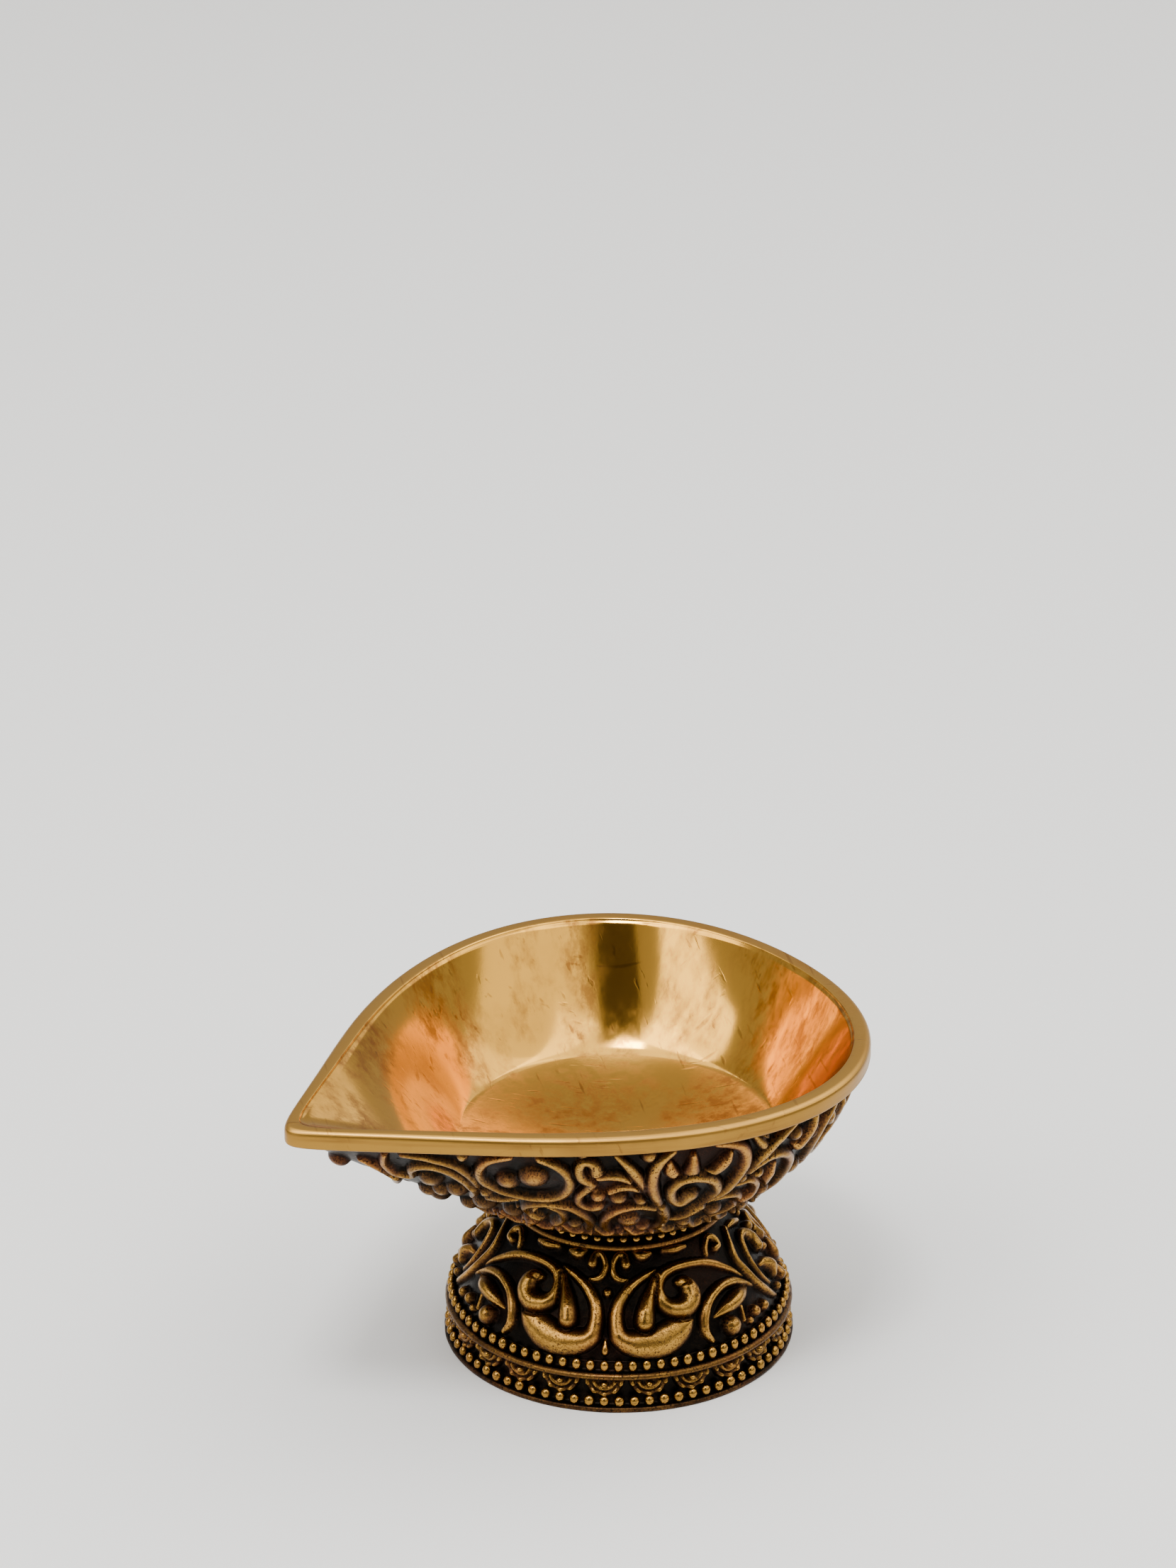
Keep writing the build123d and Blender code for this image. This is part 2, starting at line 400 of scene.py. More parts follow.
# %% [markdown]
# ## Polished brass
#
# The inside is buffed to a mirror, but it has been used: hair scratches, faint brown stains that
# ran down the wall, and a slightly drawn-out grain. The rim is only linished, so it is satin.

# %% The polished and satin materials
def scratches(nodes, links, place, turn, scale):
    """A mask of long thin lines running one way."""
    turned_place = nodes.new("ShaderNodeMapping")
    turned_place.inputs["Rotation"].default_value = (0.35, 0.2, turn)
    links.new(place, turned_place.inputs["Vector"])
    drawn = nodes.new("ShaderNodeMapping")
    drawn.inputs["Scale"].default_value = (1.0, 0.035, 0.3)
    links.new(turned_place.outputs["Vector"], drawn.inputs["Vector"])
    lines = noise_node(nodes, links, drawn.outputs["Vector"], scale, 2.0, 0.5)
    return above(nodes, links, lines, 0.66, 14.0)


def polished_brass(name, colour, stain, roughness, streak, roughened, drawn_out):
    material, nodes, links, shader = bare_metal(name)
    place = nodes.new("ShaderNodeTexCoord").outputs["Object"]

    drawn = nodes.new("ShaderNodeMapping")
    drawn.inputs["Scale"].default_value = drawn_out
    links.new(place, drawn.inputs["Vector"])
    streaks = noise_node(nodes, links, drawn.outputs["Vector"], 420.0, 6.0, 0.65)
    stains = noise_node(nodes, links, drawn.outputs["Vector"], 75.0, 5.0, 0.65)
    clouds = noise_node(nodes, links, place, 60.0, 4.0, 0.6)

    tarnish = above(nodes, links, stains, 0.45, 7.0)
    streaked = above(nodes, links, streaks, 0.38, 5.0)
    tarnish = maths(nodes, links, "MULTIPLY", tarnish, streaked, clamp=True)
    hazy = above(nodes, links, clouds, 0.48, 3.0)
    tarnish = maths(nodes, links, "ADD", tarnish, maths(nodes, links, "MULTIPLY", hazy, 0.5))
    tarnish = maths(nodes, links, "MULTIPLY", tarnish, streak, clamp=True)
    lines = maths(
        nodes, links, "ADD",
        scratches(nodes, links, place, 0.5, 900.0), scratches(nodes, links, place, 2.2, 1100.0),
    )
    marked = maths(nodes, links, "MULTIPLY", lines, 0.45, clamp=True)
    marked = maths(nodes, links, "ADD", tarnish, marked, clamp=True)
    mixed = nodes.new("ShaderNodeMix")
    mixed.data_type = "RGBA"
    mixed.inputs["A"].default_value = (*colour, 1.0)
    mixed.inputs["B"].default_value = (*stain, 1.0)
    links.new(marked, mixed.inputs["Factor"])
    links.new(mixed.outputs["Result"], shader.inputs["Base Color"])

    rough = maths(nodes, links, "MULTIPLY", tarnish, 0.16)
    rough = maths(nodes, links, "ADD", rough, roughness)
    links.new(rough, shader.inputs["Roughness"])
    height = maths(nodes, links, "ADD", streaks, lines)
    bump(nodes, links, shader, height, roughened)
    return material


UP_THE_WALL = (1.0, 1.0, 0.12)
ROUND_THE_RIM = (0.10, 0.10, 2.2)
MIRROR_BRASS = polished_brass(
    "mirror_brass", (0.86, 0.44, 0.062), (0.34, 0.14, 0.025), 0.11, 0.85, 0.08, UP_THE_WALL
)
SATIN_BRASS = polished_brass(
    "satin_brass", (0.60, 0.325, 0.065), (0.34, 0.16, 0.032), 0.36, 0.9, 0.2, ROUND_THE_RIM
)
# The band's brass is the satin brass made darker: painted shade on the rim's side face.
SHADED_BAND_BRASS = polished_brass(
    "band_brass_painted_shade", (0.35, 0.185, 0.034), (0.18, 0.082, 0.020), 0.34, 1.0, 0.3, ROUND_THE_RIM
)
print("polished brass:", MIRROR_BRASS.name, SATIN_BRASS.name, SHADED_BAND_BRASS.name)

# %% [markdown]
# ## The basin and its rim
#
# The polished part is one closed shell: up the inside, over the flat land of the rim, round the
# plain band, and back down just behind the chased skin. The rim's corners are eased by hand, so
# its rings follow small arcs.

# %% The basin
BAND_LOW = RIM_TOP - RIM_DEPTH
LIP = 0.35 * MM
EASE = 1.1 * MM
BAND_EASE = 0.6 * MM
BACK_DEPTH = 1.5 * MM
BASIN_AROUND = 320


def arc_rings(centre_radius, centre_height, radius, start, stop, steps):
    """Rings along a small arc; angles in degrees from straight out, turning upwards."""
    turns = np.radians(np.linspace(start, stop, steps))
    return [
        (centre_radius + radius * math.cos(t), centre_height + radius * math.sin(t), 1.0)
        for t in turns
    ]


basin_rings = [floor_ring(s) for s in np.linspace(0, 1, 30)]
basin_rings += [wall_ring(r) for r in np.linspace(0, 1, 60)[1:-1] ** 1.5]
basin_rings += arc_rings(BOWL_RADIUS - RIM_LAND + LIP, RIM_TOP - LIP, LIP, 180, 90, 5)
crown = BOWL_RADIUS + RIM_BULGE - EASE
basin_rings += [(BOWL_RADIUS - RIM_LAND / 2, RIM_TOP, 1.0)]
basin_rings += arc_rings(crown, RIM_TOP - EASE, EASE, 90, 0, 9)
basin_rings += [(BOWL_RADIUS + RIM_BULGE, RIM_TOP - RIM_DEPTH / 2, 1.0)]
basin_rings += arc_rings(
    BOWL_RADIUS + RIM_BULGE - BAND_EASE, BAND_LOW + BAND_EASE, BAND_EASE, 0, -90, 6
)
basin_rings += [outside_ring(r, BACK_DEPTH) for r in np.linspace(1, 0.02, 16)]
basin_rings += [(0.0, SEAT + 0.1 * MM, 0.0)]

basin = rolled_sheet("bowl_basin", ring_points(beak_angles(BASIN_AROUND), basin_rings))
finish_piece(basin, MIRROR_BRASS, "polished_brass", "bowl")

# The rim's land is satin. The band below its eased edge takes a darker copy of the satin brass:
# painted shade on that side face.
basin.data.materials.append(SATIN_BRASS)
basin.data.materials.append(SHADED_BAND_BRASS)
for face in basin.data.polygons:
    from_axis = math.hypot(face.center.x, face.center.y)
    beak_angle = abs(math.atan2(-face.center.y, -face.center.x))
    inner_edge = float(rim_radius(beak_angle)) - RIM_LAND + LIP * 0.6
    if face.center.z > BAND_LOW - 0.1 * MM and from_axis > inner_edge:
        face.material_index = 2 if face.center.z < RIM_TOP - EASE / 2 else 1
print("finishes on the basin:", len(basin.data.materials))

# %% [markdown]
# ## Chasing
#
# The scrolls are part of the casting, not wires soldered on. So they are raised out of the skin:
# each stroke is a line of points with a half width, drawn on the surface, and the skin rises into
# a round ridge over it. A stroke laid later cuts a fine groove round itself where it crosses an
# earlier one, as the chaser's liner does. Distances are measured in space, so a stroke keeps its
# width on the narrow part of the bowl.

# %% The chaser's tools
def smooth_line(points, spacing):
    """A Catmull-Rom line through rows of numbers, sampled about every spacing."""
    points = np.array(points, float)
    if len(points) == 1:
        return points
    ends = np.vstack([2 * points[0] - points[1], points, 2 * points[-1] - points[-2]])
    pieces = []
    for a, b, c, d in zip(ends, ends[1:], ends[2:], ends[3:]):
        steps = max(2, int(np.linalg.norm((c - b)[:3]) / spacing))
        t = np.linspace(0, 1, steps, endpoint=False)[:, None]
        pieces.append(
            0.5 * (2 * b + (c - a) * t + (2 * a - 5 * b + 4 * c - d) * t ** 2
                   + (3 * b - a - 3 * c + d) * t ** 3)
        )
    return np.vstack(pieces + [points[-1:]])


def filled(stroke, spacing):
    """The stroke's smooth line in three columns, three times finer than its spacing."""
    line = smooth_line(stroke, spacing)
    fill = np.linspace(0, len(line) - 1, len(line) * 3)
    return [np.interp(fill, np.arange(len(line)), column) for column in line.T]


def outward(points):
    """Unit normals of a grid of points that runs round the axis, pointing away from it."""
    along = np.gradient(points, axis=0)
    ring = np.concatenate([points[:, -2:-1], points, points[:, 1:2]], axis=1)
    across = ring[:, 2:] - ring[:, :-2]
    normal = np.cross(across, along)
    normal /= np.linalg.norm(normal, axis=-1, keepdims=True) + 1e-12
    away = points[..., 0] * normal[..., 0] + points[..., 1] * normal[..., 1]
    return normal * np.where(away.mean() < 0, -1.0, 1.0)


def chase(points, strokes, tallest, flank, rub, groove=0.35 * MM):
    """Heights and relief mask raised on the points by the strokes.

    A stroke is rows of (x, y, z, half width) in space. flank is the mask at a stroke's edge,
    and a higher rub keeps the rubbed crest narrower.
    """
    flat = points.reshape(-1, 3)
    height = np.zeros(len(flat))
    relief = np.zeros(len(flat))
    for stroke in strokes:
        widest = stroke[:, 3].max() + groove
        near = np.all(
            (flat > stroke[:, :3].min(0) - widest) & (flat < stroke[:, :3].max(0) + widest), axis=1
        )
        index = np.nonzero(near)[0]
        if not len(index):
            continue
        gap = np.linalg.norm(flat[index][:, None] - stroke[None, :, :3], axis=-1)
        nearest = np.argmin(gap / stroke[None, :, 3], axis=1)
        rows = np.arange(len(index))
        half = stroke[nearest, 3]
        away = gap[rows, nearest]
        share = away / half
        crest = np.minimum(half * 1.4, tallest)
        ridge = crest * np.sqrt(np.clip(1 - share ** 2, 0, 1))
        inside = share < 1
        beside = (share >= 1) & (away < half + groove)
        keep = np.clip((away - half) / groove, 0, 1) ** 0.7
        height[index] = np.where(
            inside, np.maximum(ridge, height[index] * 0.55),
            np.where(beside, height[index] * keep, height[index]),
        )
        worn = flank + (1 - flank) * np.clip(1 - share ** 2, 0, 1) ** rub
        relief[index] = np.where(
            inside, worn, np.where(beside, relief[index] * keep, relief[index])
        )
    return height.reshape(points.shape[:2]), relief.reshape(points.shape[:2])


def casting_grain(points, size, seed):
    """A low, lumpy unevenness over a grid of points, as sand casting leaves it."""
    rng = np.random.default_rng(seed)
    total = np.zeros(points.shape[:2])
    for octave in range(3):
        waves = rng.normal(size=(14, 3)) * (0.9 + 0.8 * octave) / MM
        phases = rng.uniform(0, 2 * math.pi, 14)
        for wave, phase in zip(waves, phases):
            total += np.sin(points @ wave + phase) / (octave + 1)
    return total * size / 8


print("the chaser's tools are ready")

# %% [markdown]
# ## The vines on the bowl
#
# The same vine runs along both flanks from the beak to the back. It is written once, for one
# flank, as strokes of (degrees from the beak, height, half width) in millimetres, and mirrored.
# Its middle part is used again further round, shifted towards the back.

# %% The vine's strokes along the flank
def ball(angle, height, half):
    return [(angle, height, half)]


BEAK_LEAVES = [
    ball(0, 51.2, 1.3),
    [(4.5, 52.5, 0.4), (5.6, 50.2, 0.7), (5.2, 47.6, 0.75), (2.5, 45.0, 0.6)],
    [(9, 54.6, 0.5), (7, 51.5, 0.6), (6.6, 48.8, 0.65), (8.5, 48.3, 0.6), (10.4, 50.7, 0.65),
     (12.8, 52.0, 0.7), (15.2, 51.8, 0.7), (17.2, 50.0, 0.7), (18.2, 47.2, 0.7),
     (17.6, 44.5, 0.65), (15.0, 42.4, 0.5)],
    [(11.5, 54.8, 0.5), (15.5, 53.9, 0.6), (18.8, 52.3, 0.65), (20.2, 49.6, 0.65),
     (19.8, 46.6, 0.5)],
    ball(11.0, 47.4, 1.5), ball(13.2, 44.2, 1.4), ball(9.0, 43.4, 1.2), ball(15.0, 39.8, 1.5),
    ball(4.5, 42.0, 1.3), ball(0.0, 38.5, 1.4), ball(8.0, 38.0, 1.2),
]
SEED_LOOP = [
    [(30, 54.9, 0.5), (25.5, 54.0, 0.65), (22.8, 51.4, 0.7), (22.3, 48.6, 0.7),
     (24.5, 46.2, 0.65), (28.5, 45.0, 0.65), (33, 44.7, 0.7), (37.8, 45.3, 0.7),
     (41.2, 47.2, 0.75), (42.2, 50.2, 0.75), (40.2, 52.9, 0.7), (36, 54.6, 0.55)],
    ball(27.8, 49.0, 1.5), ball(33.8, 50.2, 1.8),
    [(18.5, 42.2, 0.45), (22.5, 42.9, 0.6), (27, 43.4, 0.45)],
    [(29.5, 38.2, 0.95), (27.6, 39.2, 0.65), (27.8, 41.2, 0.65), (31.5, 42.8, 0.7),
     (36.5, 43.1, 0.7), (41, 42.2, 0.7), (44.2, 40.0, 0.7), (45.2, 37.3, 0.65),
     (43.6, 34.8, 0.5)],
    [(34.5, 42.2, 0.5), (37.5, 40.8, 0.6), (37.3, 38.2, 0.65), (33.8, 36.6, 0.8)],
    ball(40.3, 37.2, 1.0), ball(22.0, 38.6, 1.3), ball(25.0, 35.8, 1.1),
]
SPRAY = [
    [(48.8, 51.6, 0.95), (48.2, 53.4, 0.75), (46.0, 54.0, 0.65), (44.6, 52.4, 0.7),
     (45.2, 50.4, 0.75), (47.4, 49.2, 0.75), (46.2, 47.6, 0.65), (43.9, 45.8, 0.65),
     (43.7, 43.8, 0.65), (45.6, 42.7, 0.65), (48.4, 43.2, 0.9)],
    [(49.0, 50.2, 0.5), (53.5, 50.7, 0.7), (58.5, 48.9, 0.6)],
    [(51.0, 46.2, 0.5), (55.0, 48.0, 0.65), (60.0, 47.0, 0.6), (64.0, 44.2, 0.5)],
    [(53.5, 54.8, 0.4), (56.5, 52.6, 0.7), (59.4, 49.6, 0.8), (62.4, 46.4, 0.8),
     (65, 43.4, 0.8), (67.4, 40.4, 0.8), (68.4, 37.4, 0.75), (66.6, 35.2, 0.6)],
    ball(54.0, 45.2, 1.1), ball(48.8, 45.8, 1.0),
    [(64.5, 41.4, 0.5), (59.0, 42.7, 0.65), (53.8, 41.7, 0.7), (50.6, 39.4, 0.7),
     (49.4, 36.7, 0.65), (50.4, 34.6, 0.5)],
    ball(57.2, 38.4, 1.4), ball(62.0, 36.2, 1.0),
]
TULIP = [
    [(67.5, 54.9, 0.5), (64.4, 53.4, 0.75), (62.7, 50.6, 0.85), (63.0, 47.0, 0.85),
     (65.0, 43.4, 0.7)],
    [(72.6, 53.6, 0.5), (72.6, 51.6, 0.9), (72.6, 50.3, 1.1)],
    [(82.6, 53.2, 0.4), (81.2, 51.2, 0.85), (79.2, 49.9, 0.85), (76.6, 49.6, 0.4)],
    [(66.6, 52.6, 0.5), (67.2, 50.8, 0.9), (69.0, 49.8, 0.5)],
    [(73.6, 44.3, 1.25), (71.6, 42.8, 0.8), (68.8, 43.9, 0.75), (68.0, 46.5, 0.8),
     (70.4, 48.5, 0.8), (75.0, 48.6, 0.8), (79.4, 47.1, 0.8), (81.4, 44.4, 0.8),
     (79.8, 41.7, 0.75), (76.6, 39.4, 0.75), (73.0, 38.0, 0.65), (69.6, 37.4, 0.4)],
    [(78.5, 54.9, 0.4), (83.0, 54.6, 0.75), (86.2, 52.7, 0.85), (87.3, 49.6, 0.85),
     (86.2, 46.4, 0.85), (83.8, 43.6, 0.75), (80.6, 41.4, 0.5)],
    [(82.4, 41.2, 0.4), (86.4, 41.9, 0.6), (90.6, 41.0, 0.65), (92.8, 38.6, 0.65),
     (91.0, 36.4, 0.6), (86.8, 35.6, 0.5)],
    ball(84.6, 38.2, 1.2), ball(76.0, 36.0, 1.0),
]
LONG_LOOP = [
    [(100.5, 54.9, 0.5), (96.6, 53.6, 0.75), (93.2, 51.4, 0.8), (90.4, 48.4, 0.8),
     (88.4, 45.6, 0.6)],
    [(90.2, 46.9, 0.5), (94.2, 49.4, 0.7), (99.0, 49.2, 0.75), (103.4, 47.0, 0.75),
     (106.2, 43.4, 0.75), (107.2, 39.8, 0.7), (106.0, 36.4, 0.5)],
    [(98.6, 46.8, 0.35), (98.4, 44.6, 0.8), (98.2, 43.0, 1.1)],
    [(87.8, 44.2, 0.45), (91.4, 44.8, 0.65), (95.0, 43.0, 0.7), (97.0, 40.2, 0.7),
     (94.4, 39.2, 0.95)],
    [(108, 54.9, 0.5), (107.2, 51.8, 0.85), (105.2, 49.4, 0.95), (103.0, 49.8, 0.4)],
    ball(101.6, 52.6, 1.0), ball(102.0, 39.4, 1.1), ball(98.6, 36.2, 1.0),
]
FLANK = BEAK_LEAVES + SEED_LOOP + SPRAY + TULIP + LONG_LOOP
print("strokes along the flank:", len(FLANK))

# %% [markdown]
# ## The back of the vine, and the fillers
#
# At the back the two flanks meet in an upright spray of seeds. Small leaves, seeds and a low row
# of scallops fill the gaps. These fillers are laid first, so the main stems run over them.

# %% The vine at the back, and the whole flank
REPEAT_TURN = 50.0
LOOP_TURNED_OVER = 257.0
SCALLOP_STEP = 11
BACK_SPRAY = [
    [(168, 54.8, 0.5), (172.5, 53.0, 0.8), (175.5, 49.6, 0.85), (176.4, 45.2, 0.8),
     (174.8, 41.0, 0.75), (170.5, 38.6, 0.6)],
    ball(180, 51.4, 1.7), ball(180, 46.6, 1.4), ball(180, 42.4, 1.2), ball(180, 38.0, 1.1),
    [(169.6, 50.6, 0.5), (171.4, 47.2, 0.9), (170.2, 44.2, 1.1)],
    ball(175, 36.6, 1.0), ball(165.5, 36.0, 1.1),
]


def shifted(strokes, turn, mirrored=False):
    """The same strokes further round the bowl, turned over if mirrored."""
    sign = -1 if mirrored else 1
    return [[(turn + sign * a, h, w) for a, h, w in stroke] for stroke in strokes]


FILLERS = [
    [(131, 55.0, 0.5), (127.5, 52.0, 0.8), (126.0, 48.0, 0.85), (127.2, 43.6, 0.8),
     (130.5, 39.6, 0.7), (136, 37.4, 0.6)],
    [(124.0, 54.6, 0.5), (121.6, 51.8, 0.9), (120.4, 48.6, 0.6)],
    ball(123.2, 45.0, 1.2), ball(122.0, 40.4, 1.3), ball(132.4, 47.6, 1.2), ball(131.6, 43.6, 1.0),
    ball(126.0, 37.2, 1.1), ball(134.5, 52.0, 1.1), ball(146.0, 50.8, 1.5), ball(145.0, 44.0, 1.2),
    [(141.5, 54.8, 0.4), (144.0, 52.6, 0.8), (148.5, 50.4, 0.5)], ball(144.0, 39.4, 1.2),
    ball(21.2, 55.2, 0.8), ball(45.8, 56.0, 0.9), ball(61.4, 54.6, 1.0), ball(90.6, 54.4, 1.0),
    ball(20.6, 45.2, 1.0), ball(47.4, 47.2, 0.7), ball(60.0, 44.6, 0.9), ball(93.0, 46.2, 0.9),
    [(88.5, 55.0, 0.4), (91.2, 53.0, 0.7), (94.5, 51.4, 0.4)],
    [(31.0, 41.2, 0.4), (28.5, 40.2, 0.6), (25.4, 40.6, 0.4)],
]
for a in range(6, 178, SCALLOP_STEP):
    FILLERS.append(
        [(a - 4.4, 35.0, 0.4), (a - 1.5, 33.7, 0.7), (a + 2.5, 33.9, 0.6), (a + 4, 35, 0.4)]
    )
    FILLERS.append(ball(a + 5.4, 34.2, 0.8))
vine = FILLERS + FLANK
vine += [ball(112.0, 50.2, 1.5), ball(111.4, 42.2, 1.3)]
vine += shifted(TULIP, REPEAT_TURN) + shifted(LONG_LOOP, LOOP_TURNED_OVER, mirrored=True)
vine += BACK_SPRAY
print("strokes on one flank:", len(vine))

# %% [markdown]
# ## Chasing the bowl's skin
#
# The chased skin is its own closed sheet round the back of the basin, because it needs far finer
# rings than the smooth inside does. Flat areas are then thinned, since only strokes need faces.

# %% Chasing the bowl's skin
SKIN_AROUND = 1100
VINE_BOLDNESS = 1.5
VINE_EDGE = 31.6 * MM
VINE_EDGE_HALF = 0.9 * MM
SKIN_BACK = 1.6 * MM
MOST_TRIANGLES = 195000


def bowl_surface(angle, height):
    """Points of the bowl's outside, before the ground is sunk, from angle and height."""
    rise = np.clip((height - SEAT) / (BAND_LOW - SEAT), 0, 1)
    radius = outside_radius(rise)
    radius = radius + (rim_radius(np.abs(angle)) - BOWL_RADIUS) * rise ** BEAK_FADE
    radius = radius - GROUND_DEPTH
    return np.stack([-radius * np.cos(angle), -radius * np.sin(angle), height + 0 * angle], -1)


def on_bowl(stroke, side):
    angle, height, half = filled(stroke, 0.25)
    placed = bowl_surface(side * np.radians(angle), height * MM)
    return np.column_stack([placed, half * MM * VINE_BOLDNESS])


skin_rings = [outside_ring(r, GROUND_DEPTH) for r in np.linspace(0.10, 1.0, 130)]
skin_angles = beak_angles(SKIN_AROUND, 1.15)
skin = ring_points(skin_angles, skin_rings)
skin_strokes = [on_bowl(s, side) for s in vine for side in (1, -1)]
height, relief = chase(skin, skin_strokes, tallest=1.6 * MM, flank=0.38, rub=2.6)

# A plain band runs round the bottom edge of the vine, and the ground is uneven.
edge = np.clip(1 - np.abs(skin[..., 2] - VINE_EDGE) / VINE_EDGE_HALF, 0, 1)
height = np.maximum(height, VINE_EDGE_HALF * np.sqrt(edge))
relief = np.maximum(relief, np.sqrt(edge) * 0.8)
height += casting_grain(skin, 0.05 * MM, 3)
skin = skin + outward(skin) * height[..., None]

behind = [outside_ring(r, SKIN_BACK) for r in (1.0, 0.85, 0.6, 0.35, 0.15, 0.02)]
under = [(SEAT_RADIUS - 1.0 * MM, SEAT, 0.0), (SEAT_RADIUS, SEAT, 0.0),
         outside_ring(0.03, GROUND_DEPTH), outside_ring(0.06, GROUND_DEPTH)]
whole = np.vstack([skin, ring_points(skin_angles, behind + under), skin[:1]])
plain = np.zeros((len(behind) + len(under), relief.shape[1]))
mask = np.vstack([relief, plain, relief[:1]])
vines = rolled_sheet("bowl_vines", whole, {"relief": mask})
thinned = vines.modifiers.new("thinned", "DECIMATE")
thinned.ratio = min(1.0, MOST_TRIANGLES / (2 * len(vines.data.polygons)))
bpy.ops.object.modifier_apply(modifier="thinned")
finish_piece(vines, VINE_BRASS, "antique_brass", "bowl")

# %% [markdown]
# ## The foot's dome
#
# Two large pairs of C-scrolls face the front and the back, with a narrower ornament between them
# at each side. A quarter of the dome is drawn, in degrees from the front, and used four times.
# The foot was screwed on without lining it up with the beak, so the whole pattern is turned.

# %% The dome's profile and the quarter of its pattern
PATTERN_TURN = math.radians(-180 + 49.5)
DOME_PROFILE = [(28.4, 9.0), (27.8, 10.8), (26.6, 13.4), (24.8, 16.4), (22.8, 19.1),
                (20.6, 21.7), (18.8, 23.7), (17.4, 24.8)]
SCROLL_PAIR = [
    [(9.6, 21.9, 0.5), (4.2, 22.5, 0.7), (2.0, 24.0, 0.7), (4.6, 25.4, 0.7), (8.6, 25.5, 0.75),
     (9.4, 24.2, 1.0)],
    [(51.5, 22.9, 0.5), (54.0, 24.4, 0.7), (58.0, 25.2, 0.75), (61.4, 24.7, 0.8),
     (61.0, 23.6, 0.9), (58.4, 23.4, 0.9)],
    [(14, 25.9, 0.6), (17.5, 25.3, 1.1), (22, 25.5, 0.6)],
    [(30, 25.6, 0.6), (36, 25.4, 0.9), (42, 25.4, 0.6)],
    ball(0, 20.2, 0.9), [(0, 12.9, 0.3), (0, 11.7, 0.7), (0, 11.0, 0.7)],
    [(57.4, 14.0, 0.4), (56.4, 11.6, 0.5)],
    ball(62.5, 12.0, 1.2), ball(68.5, 11.7, 1.1), ball(59.0, 11.0, 0.8),
    [(28, 23.0, 0.35), (19.5, 22.7, 0.7), (10.8, 21.0, 1.0), (5.6, 18.3, 1.25),
     (4.8, 15.5, 1.45), (6.6, 13.4, 1.8), (11.0, 12.4, 2.25), (16.8, 12.2, 2.7),
     (22.6, 12.7, 2.9), (27.6, 13.9, 2.6), (30.8, 15.4, 1.8), (32.0, 16.7, 0.9)],
    [(65.5, 17.8, 0.25), (60, 19.8, 0.65), (52, 21.8, 0.9), (43.6, 22.8, 0.95), (33, 23.0, 1.0),
     (25.4, 22.2, 1.15), (22.4, 20.4, 1.25), (23.4, 18.4, 1.5), (27.4, 17.2, 1.8),
     (32.4, 17.2, 2.1), (36.0, 18.6, 2.0), (35.2, 20.4, 1.5), (32.0, 20.8, 0.7)],
    [(21.8, 22.0, 0.5), (19.6, 20.4, 0.9), (17.4, 18.6, 1.4), (16.0, 16.8, 1.8),
     (15.6, 15.7, 1.85)],
    [(68, 15.6, 0.4), (59.6, 17.8, 0.85), (50.8, 18.2, 1.0), (43.4, 17.1, 1.1),
     (39.2, 15.0, 1.15), (38.2, 12.6, 1.0), (40.4, 10.6, 0.6)],
    [(63.8, 16.0, 0.35), (57.0, 15.6, 1.45), (50.4, 15.0, 1.35), (43.8, 14.2, 0.3)],
    ball(49.3, 11.9, 1.85),
]
SIDE_ORNAMENT = [
    [(73.5, 24.6, 0.6), (69.0, 22.6, 0.75), (66.6, 20.4, 0.8), (68.2, 17.8, 0.85),
     (71.2, 15.0, 0.85), (76.2, 12.0, 0.7), (79.5, 10.8, 0.4)],
    [(79.4, 13.2, 0.3), (76.2, 15.4, 0.5), (75.0, 17.6, 0.55), (75.6, 19.8, 0.6),
     (78.2, 21.8, 0.8), (82.6, 22.0, 1.0), (86.2, 20.6, 1.1), (85.6, 18.8, 1.2)],
    [(79.0, 16.8, 0.4), (82.4, 16.4, 1.0), (85.0, 15.0, 1.35), (84.2, 13.8, 1.0)],
    [(77.0, 24.4, 0.5), (81.6, 24.2, 0.8), (86.4, 23.6, 0.7)],
    ball(90, 21.6, 1.2), ball(90, 17.6, 0.9), [(90, 14.2, 0.5), (90, 12.0, 1.3)],
    ball(83.0, 11.6, 0.9),
]
print("strokes in the side ornament:", len(SIDE_ORNAMENT))

# %% [markdown]
# ## Laying the pattern on the dome
#
# The pattern is settled as it is laid: its heights are squeezed down towards the bead row, and the
# two scrolls of each pair draw together without moving the ornament at the sides.

# %% Laying strokes on the dome
PATTERN_FOOT = 11.0
SETTLED_FOOT = 10.5
SQUEEZE = 0.925
DRAW_TOGETHER = 1.2
dome_radii, dome_heights = np.array(DOME_PROFILE).T * MM


def dome_point(angle, height):
    """A point of the dome's ground; the angle runs from the front of the pattern."""
    radius = np.interp(height, dome_heights, dome_radii)
    turn = angle + PATTERN_TURN
    return np.stack([radius * np.cos(turn), radius * np.sin(turn), height + 0 * angle], -1)


def on_dome(stroke, side, half_turn):
    """The settled stroke on the dome, as rows of (x, y, z, half width)."""
    turn, height, half = filled(stroke, 0.3)
    turn = turn - DRAW_TOGETHER * np.clip(turn / 6, 0, 1) * np.clip((88 - turn) / 20, 0, 1)
    height = SETTLED_FOOT + (height - PATTERN_FOOT) * SQUEEZE
    return np.column_stack(
        [dome_point(side * np.radians(turn) + half_turn, height * MM), half * MM]
    )


print("the pattern is turned by", round(math.degrees(PATTERN_TURN), 1), "degrees")

# %% [markdown]
# ## Chasing the dome
#
# The dome's relief is bolder than the bowl's. Behind it the sheet turns in over the top plate,
# passes the stud's hole and comes down inside the foot, which is hollow as cast.

